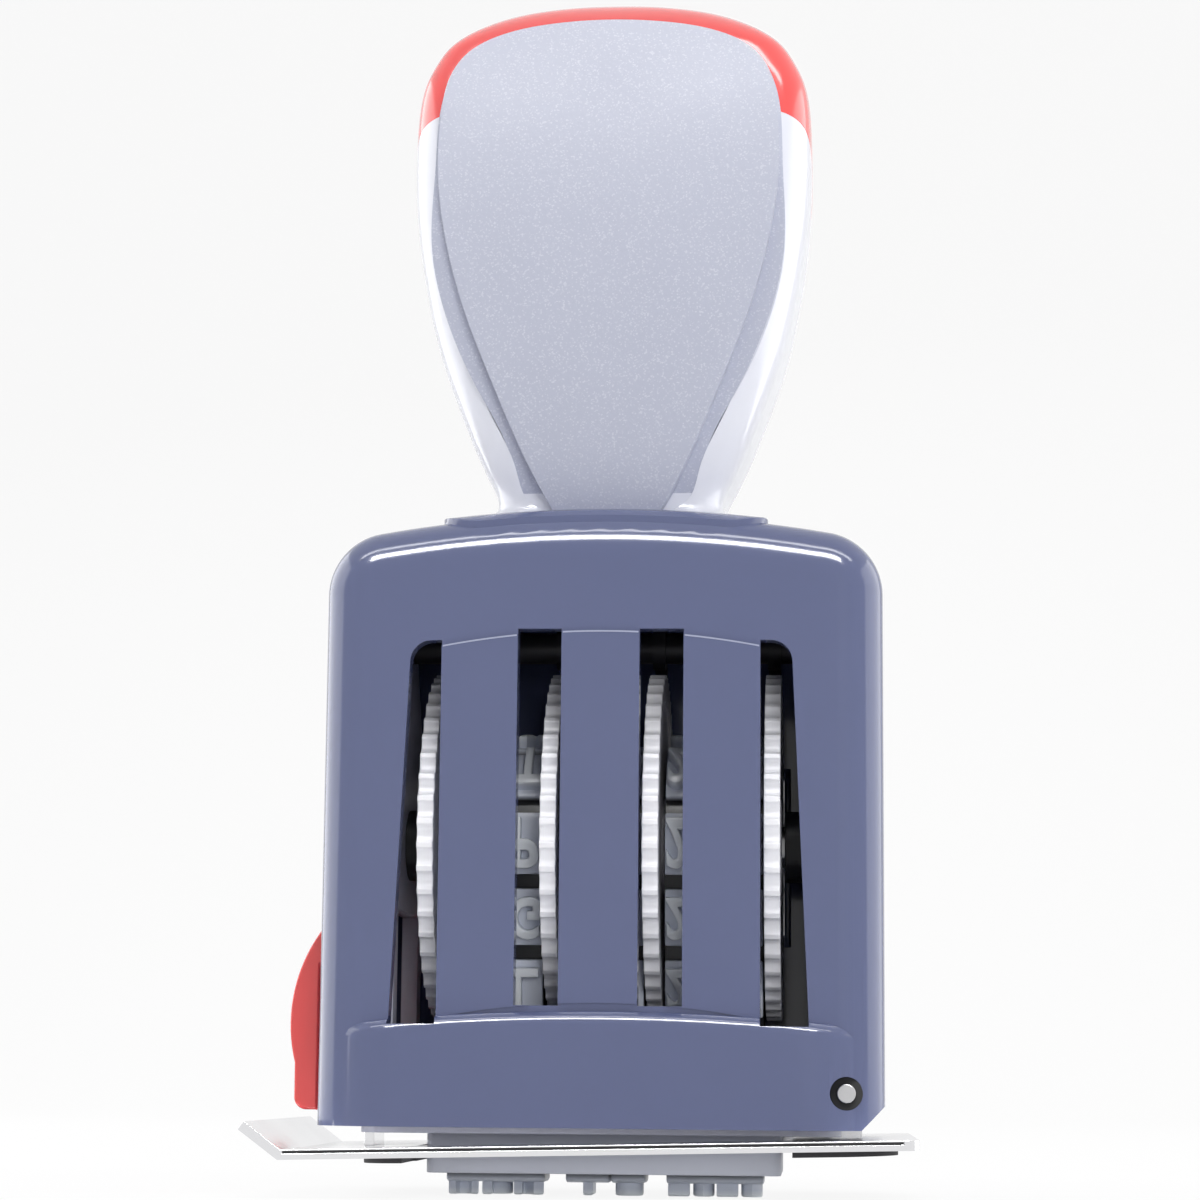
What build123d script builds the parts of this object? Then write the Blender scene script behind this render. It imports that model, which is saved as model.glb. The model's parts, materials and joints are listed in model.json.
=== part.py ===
from build123d import *
import os
from math import asin, atan2, copysign, cos, degrees, hypot, pi, radians, sin

# Hand dater: a grip handle on a slotted housing, four thumb wheels that carry
# rubber date bands over an anvil, and a steel text plate that swings down on a
# pin at the right when the red lever at the left is pressed.
# X runs to the right, -Y is the front, Z is up. The origin is the middle of the
# printed line, on the plane that the raised characters stand on.

os.makedirs("parts", exist_ok=True)

# Fits and clearances
running = 0.06
seat = 0.02
loose = 0.3
overrun = 6.0

# Printing line and bands
character_height = 4.0
character_relief = 1.2
cell_relief = 0.95
band_web = 0.9
band_slack = 0.15
cell_length = 5.3
cells_per_band = 14
character_gap = 0.2

# Anvil and band guide
anvil_corner = 1.2
anvil_half_flat = 1.9
anvil_rise = 5.7
anvil_bridge_height = 2.6
anvil_bridge_half_width = 1.8
guide_half_width = 16.5
guide_half_depth = 8.1
guide_wall = 0.8
guide_rib = 0.5
guide_flange = 1.0
guide_flange_reach = 1.0

# Thumb wheels and axle
wheel_radius = 16.6
wheel_thickness = 1.5
wheel_teeth = 48
tooth_scoop_radius = 0.95
tooth_scoop_depth = 0.5
wheel_dish = 0.3
wheel_rim = 2.6
axle_height = 33.1
axle_radius = 2.0
drum_radius = 7.6
month_wheel_x = -16.1
tens_wheel_x = -4.8
units_wheel_x = 4.6
year_wheel_x = 15.75
band_side_gap = 0.2
day_split_x = 0.36

# Housing
housing_width = 52.0
housing_depth = 34.0
housing_bottom = 6.5
housing_top = 63.4
housing_crown = 2.8
housing_wall = 2.0
housing_corner = 6.0
housing_edge = 4.4
foot_corner = 2.2
heel_corner = 0.9

# Base flare, bars and slots, on the front and on the back
flare_depth = 1.6
flare_height = 10.5
flare_drop = 1.6
flare_round = 1.3
flare_corner = 8.0
bar_proud = 0.3
bar_top = 51.8
bar_bottom = 17.7
bar_drop = 1.4
bar_span = 14.7
slot_inner_near = 3.6
slot_inner_far = 7.65
slot_top = 51.95
slot_bottom = 17.45
outer_slot_foot = 19.1
outer_slot_head = 17.55
outer_slot_top = 50.9
outer_slot_bottom = 15.7
outer_slot_round = 2.0

# Raised seat under the handle
saddle_half_width = 15.3
saddle_half_depth = 15.6
saddle_height = 0.5
saddle_corner = 4.0

# Chassis
chassis_thickness = 1.6
chassis_inner = 19.6
chassis_shoulder = 41.0
chassis_half_depth = 10.0
chassis_head_half_depth = 2.4
chassis_notch_half_depth = 7.4
chassis_notch_top = 26.5
chassis_head_radius = 2.2
base_half_width = 22.0
base_half_depth = 14.6
base_thickness = 2.0
base_clearance = 0.3
tie_bar_radius = 1.5
tie_bar_clearance = 0.6
detent_wall = 0.6
detent_width = 1.2
detent_blade = 0.3
detent_nose = 0.6
post_x = 18.2
post_y = 12.2
post_radius = 2.4
post_height = 7.6
screw_radius = 1.0
screw_length = 6.5
screw_head_radius = 1.9

# Text plate
hinge_x = 22.45
hinge_height = 9.8
hinge_pin_radius = 0.85
hinge_hole_radius = 1.5
hinge_recess = 2.2
hinge_pin_proud = 0.5
plate_drop = 4.2
plate_thickness = 0.9
plate_left_reach = 51.0
plate_right_reach = 6.4
plate_corner = 1.2
plate_hang_angle = 1.4
tab_length = 4.2
tab_angle = 38.0
ear_y = 6.0
ear_thickness = 1.0
ear_radius = 1.45
window_side_room = 0.9
window_end_room = 0.9
catch_reach = 45.5
catch_half_width = 3.5
catch_height = 3.0
catch_lip = 0.8
pad_thickness = 0.5
pad_left_reach = 44.4
pad_right_reach = 4.6
pad_half_depth = 17.2
pad_corner = 6.0

# Release lever
lever_pivot_x = -23.7
lever_pivot_height = 24.6
lever_pin_radius = 0.75
lever_boss_radius = 1.6
lever_half_width = 5.0
lever_reach = 3.6
lever_bottom = 7.8
lever_paddle = 2.3
lever_crest = 21.6
lever_toe = 1.2
lever_arm = 1.0
lever_arm_top = 12.2
lever_nose = 0.5
lever_nose_height = 0.6
lever_nose_gap = 0.2
spring_wire = 0.35
spring_turns = 3
spring_pitch = 0.46
spring_room = 0.15

# Handle
handle_height = 52.9
handle_half_width = 19.5
grip_edge = 6.0
collar_flare = 1.1
collar_height = 1.7
collar_taper = 35.0
cap_wall = 1.6
cap_low = 31.6
cap_rise = 9.0
insert_foot = 10.4
insert_swell = 13.7
insert_swell_height = 31.0
insert_crown = 8.2
insert_field = 1.2
insert_flange = 2.4
insert_pocket = 1.0
insert_edge = 0.4
insert_height = 49.1
field_half_width = 16.35
flange_margin = 0.15
handle_screw_radius = 2.0
handle_screw_length = 16.0
handle_screw_head_radius = 3.5
handle_screw_head = 2.2

# Outline of the handle: shares of its height and half width
handle_side_shares = (
    (0.0, 0.572),
    (0.047, 0.567),
    (0.1, 0.634),
    (0.174, 0.722),
    (0.325, 0.868),
    (0.476, 0.954),
    (0.6, 0.994),
    (0.705, 1.0),
    (0.8, 0.985),
    (0.861, 0.933),
    (0.92, 0.82),
    (0.966, 0.61),
    (0.99, 0.37),
)

# Lower edge of the cap, seen from the side: shares of the swell and of the rise
cap_edge_shares = (
    (0.0, 0.0),
    (0.22, 0.24),
    (0.47, 0.66),
    (0.73, 0.9),
    (1.0, 1.0),
)

# Outline of the raised field of the insert: shares of its height and half width
field_side_shares = (
    (0.0, 0.3),
    (0.11, 0.481),
    (0.24, 0.652),
    (0.38, 0.818),
    (0.515, 0.932),
    (0.69, 1.0),
    (0.78, 0.993),
    (0.86, 0.962),
    (0.925, 0.857),
    (0.968, 0.651),
    (0.993, 0.33),
)

# Outline of the flange around the field, with its hollow either side of the foot
flange_side_shares = (
    (0.0, 0.35),
    (0.04, 0.49),
    (0.118, 0.57),
    (0.247, 0.765),
    (0.383, 0.942),
    (0.519, 1.03),
    (0.69, 1.02),
    (0.86, 0.972),
    (0.925, 0.867),
    (0.968, 0.661),
    (0.993, 0.34),
)

# Heights worked out from the printing line upwards
cell_face = character_relief
web_face = cell_face + cell_relief
anvil_bottom = web_face + band_web + band_slack
plate_top = hinge_height - plate_drop
base_bottom = plate_top + base_clearance
base_top = base_bottom + base_thickness
tie_bar_height = axle_height + wheel_radius + tie_bar_clearance + detent_wall + tie_bar_radius
housing_half_width = housing_width / 2
housing_half_depth = housing_depth / 2
plate_half_depth = housing_half_depth + flare_depth
cavity_half_width = housing_half_width - housing_wall
cavity_half_depth = housing_half_depth - housing_wall
cavity_top = housing_top - housing_wall
rim_window_half = ((wheel_radius + loose) ** 2 - cavity_half_depth**2) ** 0.5
saddle_top = housing_top + saddle_height
wheel_half = wheel_thickness / 2
wheel_places = (month_wheel_x, tens_wheel_x, units_wheel_x, year_wheel_x)
drum_slack_radius = drum_radius + band_slack
belt_corner_radius = anvil_corner + band_slack


def finish(builder, name):
    builder.part.label = name
    export_step(builder.part, f"parts/{name}.step")


def side_plane(x):
    return Plane.YZ.offset(x)


def front_plane(y):
    return Plane.XZ.offset(-y)


# Belt path: the hull of the drum and of the two rounded anvil edges
belt_foot_y = anvil_half_flat
belt_foot_z = anvil_bottom + anvil_corner
belt_rise = axle_height - belt_foot_z
belt_span = hypot(belt_foot_y, belt_rise)
belt_lean = asin((drum_slack_radius - belt_corner_radius) / belt_span)
belt_run = atan2(belt_rise, -belt_foot_y)
belt_normal = belt_run - pi / 2 - belt_lean


def belt_points(grow):
    corner = belt_corner_radius + grow
    drum = drum_slack_radius + grow
    away = (cos(belt_normal), sin(belt_normal))
    low = (belt_foot_y, belt_foot_z - corner)
    half = (belt_normal - pi / 2) / 2
    bend = (belt_foot_y + corner * cos(half), belt_foot_z + corner * sin(half))
    foot = (belt_foot_y + corner * away[0], belt_foot_z + corner * away[1])
    head = (drum * away[0], axle_height + drum * away[1])
    crown = (0, axle_height + drum)
    return low, bend, foot, head, crown


def belt_wire(grow):
    low, bend, foot, head, crown = belt_points(grow)
    with BuildLine() as loop:
        Line((0, low[1]), low)
        ThreePointArc(low, bend, foot)
        Line(foot, head)
        ThreePointArc(head, crown, (-head[0], head[1]))
        Line((-head[0], head[1]), (-foot[0], foot[1]))
        ThreePointArc((-foot[0], foot[1]), (-bend[0], bend[1]), (-low[0], low[1]))
        Line((-low[0], low[1]), (0, low[1]))
    return loop.wire()


def belt_blocks(grow, length, height):
    loop = belt_wire(grow)
    for index in range(cells_per_band):
        share = index / cells_per_band
        spot = loop.position_at(share)
        along = loop.tangent_at(share)
        turn = degrees(atan2(along.Y, along.X))
        with Locations(Location((spot.X, spot.Y), turn)):
            Rectangle(length, height + band_web / 2, align=(Align.CENTER, Align.MAX))


def rubber_band(name, low_x, high_x, characters):
    width = high_x - low_x
    character_width = (width - character_gap * (characters + 1)) / characters
    with BuildPart() as band:
        with BuildSketch(side_plane(low_x)):
            with BuildLine():
                add(belt_wire(band_web))
            make_face()
            with BuildLine():
                add(belt_wire(0))
            make_face(mode=Mode.SUBTRACT)
        extrude(amount=width)
        with BuildSketch(side_plane(low_x)):
            belt_blocks(band_web / 2, cell_length, cell_relief)
        extrude(amount=width)
        for index in range(characters):
            start = low_x + character_gap + index * (character_width + character_gap)
            with BuildSketch(side_plane(start)):
                belt_blocks(band_web / 2, character_height, cell_relief + character_relief)
            extrude(amount=character_width)
    finish(band, name)


def thumb_wheel(name, disc_x, drum_end):
    toward = 1 if drum_end > disc_x else -1
    outer = disc_x - toward * wheel_half
    with BuildPart() as wheel:
        with BuildSketch(side_plane(disc_x - wheel_half)):
            with Locations((0, axle_height)):
                Circle(wheel_radius)
                with PolarLocations(wheel_radius + tooth_scoop_radius - tooth_scoop_depth, wheel_teeth):
                    Circle(tooth_scoop_radius, mode=Mode.SUBTRACT)
        extrude(amount=wheel_thickness)
        with BuildSketch(side_plane(outer)):
            with Locations((0, axle_height)):
                Circle(wheel_radius - wheel_rim)
                Circle(axle_radius + wheel_rim, mode=Mode.SUBTRACT)
        extrude(amount=toward * wheel_dish, mode=Mode.SUBTRACT)
        with BuildSketch(side_plane(disc_x)):
            with Locations((0, axle_height)):
                Circle(drum_radius)
        extrude(amount=drum_end - disc_x)
        with BuildSketch(side_plane(disc_x - overrun * 2)):
            with Locations((0, axle_height)):
                Circle(axle_radius + running)
        extrude(amount=housing_width, mode=Mode.SUBTRACT)
    finish(wheel, name)


# Thumb wheels, each with the drum of its own band
tens_end = day_split_x - band_side_gap / 2
units_end = day_split_x + band_side_gap / 2
month_drum_end = tens_wheel_x - wheel_half - loose
year_drum_end = units_wheel_x + wheel_half + loose
thumb_wheel("month_wheel", month_wheel_x, month_drum_end)
thumb_wheel("day_tens_wheel", tens_wheel_x, tens_end)
thumb_wheel("day_units_wheel", units_wheel_x, units_end)
thumb_wheel("year_wheel", year_wheel_x, year_drum_end)

# Rubber bands
rubber_band("month_band", month_wheel_x + wheel_half + band_side_gap, month_drum_end, 3)
rubber_band("day_tens_band", tens_wheel_x + wheel_half + band_side_gap, tens_end, 1)
rubber_band("day_units_band", units_end, units_wheel_x - wheel_half - band_side_gap, 1)
rubber_band("year_band", year_drum_end, year_wheel_x - wheel_half - band_side_gap, 4)

# Axle with a clip and a washer at each end
axle_half_length = chassis_inner + chassis_thickness
clip_thickness = 0.6
clip_radius = 3.6
with BuildPart() as axle:
    with BuildSketch(side_plane(-axle_half_length - clip_thickness)):
        with Locations((0, axle_height)):
            Circle(axle_radius)
    extrude(amount=2 * (axle_half_length + clip_thickness))
finish(axle, "wheel_axle")

with BuildPart() as axle_clips:
    for side in (-1, 1):
        with BuildSketch(side_plane(side * axle_half_length)):
            with Locations((0, axle_height)):
                Circle(clip_radius)
                Circle(axle_radius + seat, mode=Mode.SUBTRACT)
            with Locations((0, axle_height - clip_radius)):
                Rectangle(axle_radius, 2 * clip_radius - axle_radius, mode=Mode.SUBTRACT)
        extrude(amount=side * clip_thickness)
finish(axle_clips, "axle_clips")

spacer_radius = 3.4
with BuildPart() as end_spacers:
    for low_x, high_x in (
        (-chassis_inner, month_wheel_x - wheel_half - loose),
        (year_wheel_x + wheel_half + loose, chassis_inner),
    ):
        with BuildSketch(side_plane(low_x)):
            with Locations((0, axle_height)):
                Circle(spacer_radius)
                Circle(axle_radius + seat, mode=Mode.SUBTRACT)
        extrude(amount=high_x - low_x)
finish(end_spacers, "axle_end_spacers")

# Chassis: a base with two side plates, notched where the lever arm passes
def cheek_outline():
    with BuildSketch() as cheek:
        with BuildLine():
            Polyline(
                (-chassis_half_depth, base_top),
                (-chassis_half_depth, chassis_shoulder),
                (-chassis_head_half_depth, tie_bar_height + chassis_head_radius),
                (chassis_head_half_depth, tie_bar_height + chassis_head_radius),
                (chassis_half_depth, chassis_shoulder),
                (chassis_half_depth, base_top),
                close=True,
            )
        make_face()
        fillet(cheek.vertices().group_by(Axis.Y)[-1], radius=chassis_head_radius)
        with Locations((0, base_top)):
            Rectangle(
                2 * chassis_notch_half_depth,
                chassis_notch_top - base_top,
                align=(Align.CENTER, Align.MIN),
                mode=Mode.SUBTRACT,
            )
        with Locations((0, axle_height)):
            Circle(axle_radius + seat, mode=Mode.SUBTRACT)
        with Locations((0, tie_bar_height)):
            Circle(tie_bar_radius + seat, mode=Mode.SUBTRACT)
    return cheek.sketch


post_places = [(side_x * post_x, side_y * post_y) for side_x in (-1, 1) for side_y in (-1, 1)]
arm_gate_half_depth = lever_half_width + loose

with BuildPart() as chassis:
    with BuildSketch(Plane.XY.offset(base_bottom)):
        RectangleRounded(2 * base_half_width, 2 * base_half_depth, post_radius)
        Rectangle(
            2 * (guide_half_width + seat),
            2 * (guide_half_depth + seat),
            mode=Mode.SUBTRACT,
        )
        with Locations((-base_half_width, 0)):
            Rectangle(
                2 * (base_half_width - guide_half_width - guide_flange_reach),
                2 * arm_gate_half_depth,
                mode=Mode.SUBTRACT,
            )
        with Locations((base_half_width, ear_y), (base_half_width, -ear_y)):
            Rectangle(
                2 * (base_half_width - hinge_x + ear_radius + loose),
                2 * ear_thickness,
                mode=Mode.SUBTRACT,
            )
        with Locations(*post_places):
            Circle(screw_radius + seat, mode=Mode.SUBTRACT)
    extrude(amount=base_thickness)
    for side in (-1, 1):
        with BuildSketch(side_plane(side * chassis_inner)):
            add(cheek_outline())
        extrude(amount=side * chassis_thickness)
    with Locations(*[(x, y, base_bottom) for x, y in post_places]):
        Cone(
            screw_head_radius,
            screw_radius + seat,
            screw_head_radius - screw_radius,
            align=(Align.CENTER, Align.CENTER, Align.MIN),
            mode=Mode.SUBTRACT,
        )
finish(chassis, "chassis")

with BuildPart() as chassis_screws:
    with Locations(*[(x, y, base_bottom) for x, y in post_places]):
        Cylinder(screw_radius, screw_length, align=(Align.CENTER, Align.CENTER, Align.MIN))
        Cone(
            screw_head_radius - seat,
            screw_radius,
            screw_head_radius - screw_radius,
            align=(Align.CENTER, Align.CENTER, Align.MIN),
        )
finish(chassis_screws, "chassis_screws")

# Tie bar across the top of the side plates, and the detent spring on it for each wheel
with BuildPart() as tie_bar:
    with BuildSketch(side_plane(-axle_half_length)):
        with Locations((0, tie_bar_height)):
            Circle(tie_bar_radius)
    extrude(amount=2 * axle_half_length)
finish(tie_bar, "tie_bar")

tooth_pitch_angle = 360 / wheel_teeth
detent_angle = radians(90 - 3 * tooth_pitch_angle)
detent_reach = wheel_radius - tooth_scoop_depth + band_slack + detent_nose
detent_y = detent_reach * cos(detent_angle)
detent_z = axle_height + detent_reach * sin(detent_angle)
blade_length = hypot(detent_y, detent_z - tie_bar_height)
blade_angle = degrees(atan2(detent_z - tie_bar_height, detent_y))
with BuildPart() as detent_springs:
    for wheel_x in wheel_places:
        with BuildSketch(side_plane(wheel_x - detent_width / 2)):
            with Locations((0, tie_bar_height)):
                Circle(tie_bar_radius + detent_wall)
            with Locations(Location((0, tie_bar_height), blade_angle)):
                Rectangle(blade_length, detent_blade, align=(Align.MIN, Align.CENTER))
            with Locations((detent_y, detent_z)):
                Circle(detent_nose)
            with Locations((0, tie_bar_height)):
                Circle(tie_bar_radius + seat, mode=Mode.SUBTRACT)
        extrude(amount=detent_width)
finish(detent_springs, "detent_springs")

# Anvil that the bands wrap around, hung from a bridge across the guide
anvil_top = anvil_bottom + anvil_rise
guide_top = base_top + guide_flange
anvil_half_width = guide_half_width - guide_wall - loose


def anvil_nose():
    with BuildSketch() as nose:
        with Locations((0, anvil_bottom)):
            Rectangle(
                2 * (anvil_half_flat + anvil_corner),
                guide_top - anvil_bottom,
                align=(Align.CENTER, Align.MIN),
            )
        fillet(nose.vertices().group_by(Axis.Y)[0], radius=anvil_corner)
    return nose.sketch


with BuildPart() as anvil:
    with BuildSketch(side_plane(-anvil_half_width)):
        add(anvil_nose())
    extrude(amount=2 * anvil_half_width)
    with BuildSketch(side_plane(-guide_half_width - guide_flange_reach)):
        with Locations((0, guide_top)):
            Rectangle(
                2 * anvil_bridge_half_width,
                anvil_bridge_height,
                align=(Align.CENTER, Align.MIN),
            )
    extrude(amount=2 * (guide_half_width + guide_flange_reach))
finish(anvil, "anvil")

# Guide frame around the bands, which drops into the chassis base on a flange
month_rib_x = tens_wheel_x + wheel_half - guide_rib / 2
year_rib_x = units_wheel_x - guide_rib / 2
rib_start = anvil_half_flat + anvil_corner + seat
with BuildPart() as guide:
    with BuildSketch(Plane.XY.offset(web_face)):
        RectangleRounded(2 * guide_half_width, 2 * guide_half_depth, guide_wall)
    extrude(amount=base_top - web_face)
    with BuildSketch(Plane.XY.offset(base_top)):
        RectangleRounded(
            2 * (guide_half_width + guide_flange_reach),
            2 * (guide_half_depth + guide_flange_reach),
            guide_wall,
        )
    extrude(amount=guide_flange)
    with BuildSketch(Plane.XY.offset(web_face)):
        Rectangle(2 * (guide_half_width - guide_wall), 2 * (guide_half_depth - guide_wall))
    extrude(amount=guide_top - web_face, mode=Mode.SUBTRACT)
    for rib_x in (month_rib_x, year_rib_x):
        for side in (-1, 1):
            with BuildSketch(Plane.XY.offset(web_face)):
                with Locations((rib_x, side * rib_start)):
                    Rectangle(
                        guide_rib,
                        guide_half_depth - guide_wall / 2 - rib_start,
                        align=(Align.CENTER, Align.MIN if side > 0 else Align.MAX),
                    )
            extrude(amount=guide_top - web_face)
finish(guide, "band_guide")


# Housing
def housing_outline(inset):
    half = housing_half_width - inset
    top = housing_top - inset
    with BuildSketch() as outline:
        with BuildLine():
            Line((-half, housing_bottom), (half, housing_bottom))
            Line((half, housing_bottom), (half, top - housing_crown))
            ThreePointArc((half, top - housing_crown), (0, top), (-half, top - housing_crown))
            Line((-half, top - housing_crown), (-half, housing_bottom))
        make_face()
        fillet(outline.vertices().group_by(Axis.Y)[-1], radius=housing_corner - inset)
    return outline.sketch


def arched_patch(half, low, low_drop, high, high_drop):
    with BuildSketch() as patch:
        with BuildLine():
            ThreePointArc((-half, high - high_drop), (0, high), (half, high - high_drop))
            Line((half, high - high_drop), (half, low - low_drop))
            if low_drop:
                ThreePointArc((half, low - low_drop), (0, low), (-half, low - low_drop))
            else:
                Line((half, low), (-half, low))
            Line((-half, low - low_drop), (-half, high - high_drop))
        make_face()
    return patch.sketch


def outer_slot(side):
    with BuildSketch() as slot:
        with BuildLine():
            Polyline(
                (side * bar_span, outer_slot_bottom),
                (side * bar_span, outer_slot_top),
                (side * outer_slot_head, outer_slot_top),
                (side * outer_slot_foot, outer_slot_bottom),
                close=True,
            )
        make_face()
        upper = slot.vertices().group_by(Axis.Y)[-1].sort_by(Axis.X)
        fillet(upper[0 if side < 0 else -1], radius=outer_slot_round)
    return slot.sketch


def rounded_shell(inset):
    with BuildPart() as shell:
        with BuildSketch(Plane.XZ):
            add(housing_outline(inset))
        extrude(amount=housing_half_depth - inset, both=True)
        rims = shell.faces().filter_by(Axis.Y).edges()
        fillet(rims.group_by(Axis.Z)[1:], radius=housing_edge - inset)
    return shell.part


with BuildPart() as base_flare:
    with BuildSketch(Plane.XY.offset(housing_bottom)):
        RectangleRounded(housing_width, housing_depth + 2 * flare_depth, flare_corner)
    extrude(amount=2 * flare_height)
    with BuildSketch(Plane.XZ):
        add(arched_patch(housing_half_width, housing_bottom, 0, housing_bottom + flare_height, flare_drop))
    extrude(amount=housing_depth, both=True, mode=Mode.INTERSECT)
    fillet(base_flare.faces().sort_by(Axis.Z)[-1].edges(), radius=flare_round)

with BuildPart() as saddle:
    add(rounded_shell(-saddle_height))
    with BuildSketch(Plane.XY.offset(cavity_top - housing_edge)):
        RectangleRounded(2 * saddle_half_width, 2 * saddle_half_depth, saddle_corner)
    extrude(amount=2 * housing_edge, mode=Mode.INTERSECT)

with BuildPart() as housing:
    add(rounded_shell(0))
    add(base_flare.part)
    add(saddle.part)
    with BuildSketch(Plane.XZ):
        add(arched_patch(bar_span, bar_bottom, bar_drop, bar_top, bar_drop))
    extrude(amount=housing_half_depth + bar_proud)
    with BuildSketch(Plane.XZ):
        add(housing_outline(housing_wall))
    extrude(amount=cavity_half_depth, both=True, mode=Mode.SUBTRACT)
    with BuildSketch(Plane.XZ):
        inner_slot_x = (slot_inner_near + slot_inner_far) / 2
        with Locations(
            (-inner_slot_x, (slot_top + slot_bottom) / 2),
            (inner_slot_x, (slot_top + slot_bottom) / 2),
        ):
            Rectangle(slot_inner_far - slot_inner_near, slot_top - slot_bottom)
        add(outer_slot(-1))
        add(outer_slot(1))
    extrude(amount=housing_depth, mode=Mode.SUBTRACT)
    # Windows in the back wall that the rims of the wheels run in
    with BuildSketch(Plane.XZ):
        with Locations(*[(x, axle_height) for x in wheel_places]):
            Rectangle(wheel_thickness + 2 * loose, 2 * rim_window_half)
    extrude(amount=-housing_depth, mode=Mode.SUBTRACT)
    post_web = cavity_half_depth - post_y
    with BuildSketch(Plane.XY.offset(base_top)):
        with Locations(*post_places):
            Circle(post_radius)
        with Locations(*[(x, y + copysign(post_web / 2, y)) for x, y in post_places]):
            Rectangle(2 * screw_radius, post_web + seat)
    extrude(amount=post_height)
    with BuildSketch(Plane.XY.offset(base_top)):
        with Locations(*post_places):
            Circle(screw_radius + seat)
    extrude(amount=post_height - post_radius, mode=Mode.SUBTRACT)
    # Bosses for the lever pin, each side of the lever's gate in the left wall
    boss_reach = lever_pivot_x + lever_boss_radius + cavity_half_width
    with Locations(
        (-cavity_half_width, arm_gate_half_depth, lever_pivot_height),
        (-cavity_half_width, -arm_gate_half_depth - 2 * lever_boss_radius, lever_pivot_height),
    ):
        Box(
            boss_reach,
            2 * lever_boss_radius,
            2 * lever_boss_radius,
            align=(Align.MIN, Align.MIN, Align.CENTER),
        )
    with BuildSketch(Plane.XZ):
        with Locations((-housing_half_width - seat, housing_bottom - overrun)):
            Rectangle(
                housing_wall + 2 * seat,
                lever_pivot_height + lever_boss_radius + 2 * loose - housing_bottom + overrun,
                align=(Align.MIN, Align.MIN),
            )
    extrude(amount=arm_gate_half_depth, both=True, mode=Mode.SUBTRACT)
    with BuildSketch(Plane.XZ):
        with Locations((lever_pivot_x, lever_pivot_height)):
            Circle(lever_pin_radius + seat)
    extrude(amount=arm_gate_half_depth + 2 * lever_boss_radius, both=True, mode=Mode.SUBTRACT)
    # Gates in the right wall for the plate's hinge ears, and the hinge pin's holes
    with Locations((hinge_x, ear_y, hinge_height), (hinge_x, -ear_y, hinge_height)):
        Box(
            2 * overrun,
            ear_thickness + 2 * loose,
            2 * (ear_radius + loose),
            align=(Align.MIN, Align.CENTER, Align.CENTER),
            mode=Mode.SUBTRACT,
        )
        Box(
            2 * overrun,
            ear_thickness + 2 * loose,
            overrun,
            align=(Align.MIN, Align.CENTER, Align.MAX),
            mode=Mode.SUBTRACT,
        )
    with BuildSketch(Plane.XZ):
        with Locations((hinge_x, hinge_height)):
            Circle(hinge_pin_radius + seat)
    extrude(amount=housing_depth, both=True, mode=Mode.SUBTRACT)
    hinge_face = housing_half_depth + flare_depth
    for side in (-1, 1):
        with BuildSketch(front_plane(side * (hinge_face - hinge_recess))):
            with Locations((hinge_x, hinge_height)):
                Circle(hinge_hole_radius)
        extrude(amount=-side * overrun, mode=Mode.SUBTRACT)
    # Foot corner cut back so that the plate can swing, and the hole for the handle screw
    with BuildSketch(Plane.XZ):
        with BuildLine():
            Polyline(
                (housing_half_width - foot_corner, housing_bottom - overrun),
                (housing_half_width - foot_corner, housing_bottom),
                (housing_half_width, housing_bottom + foot_corner),
                (housing_half_width + overrun, housing_bottom + foot_corner),
                (housing_half_width + overrun, housing_bottom - overrun),
                close=True,
            )
        make_face()
    extrude(amount=housing_depth, both=True, mode=Mode.SUBTRACT)
    with Locations((0, 0, cavity_top)):
        Cylinder(handle_screw_radius + seat, 2 * overrun, mode=Mode.SUBTRACT)
        Cylinder(
            handle_screw_head_radius + loose,
            handle_screw_head,
            align=(Align.CENTER, Align.CENTER, Align.MAX),
            mode=Mode.SUBTRACT,
        )
finish(housing, "housing")

# Hinge pin of the text plate, through the front and the back of the housing
with BuildPart() as hinge_pin:
    with BuildSketch(Plane.XZ):
        with Locations((hinge_x, hinge_height)):
            Circle(hinge_pin_radius)
    extrude(amount=hinge_face - hinge_recess + hinge_pin_proud, both=True)
finish(hinge_pin, "plate_hinge_pin")

# Text plate, drawn from its hinge and hung open by the play of its catch
hang = radians(plate_hang_angle)
hung_side = Plane(
    origin=(hinge_x, 0, hinge_height),
    x_dir=(cos(hang), 0, sin(hang)),
    z_dir=(0, -1, 0),
)
hung_top = Plane(
    origin=(hinge_x, 0, hinge_height),
    x_dir=(cos(hang), 0, sin(hang)),
    z_dir=(-sin(hang), 0, cos(hang)),
)
plate_under = plate_drop + plate_thickness
tab = radians(180 - tab_angle)
bend_x = -plate_left_reach
window_left = -guide_half_width - window_side_room - hinge_x
window_right = guide_half_width + window_side_room - hinge_x
window_half_depth = guide_half_depth + window_end_room


def plate_side():
    with BuildSketch() as side:
        with BuildLine():
            Polyline(
                (bend_x, -plate_drop),
                (bend_x + tab_length * cos(tab), -plate_drop + tab_length * sin(tab)),
                (
                    bend_x + tab_length * cos(tab) - plate_thickness * sin(tab),
                    -plate_drop + tab_length * sin(tab) + plate_thickness * cos(tab),
                ),
                (bend_x - plate_thickness * sin(tab) / 2, -plate_under),
                (plate_right_reach, -plate_under),
                (plate_right_reach, -plate_drop),
                close=True,
            )
        make_face()
    return side.sketch


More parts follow.
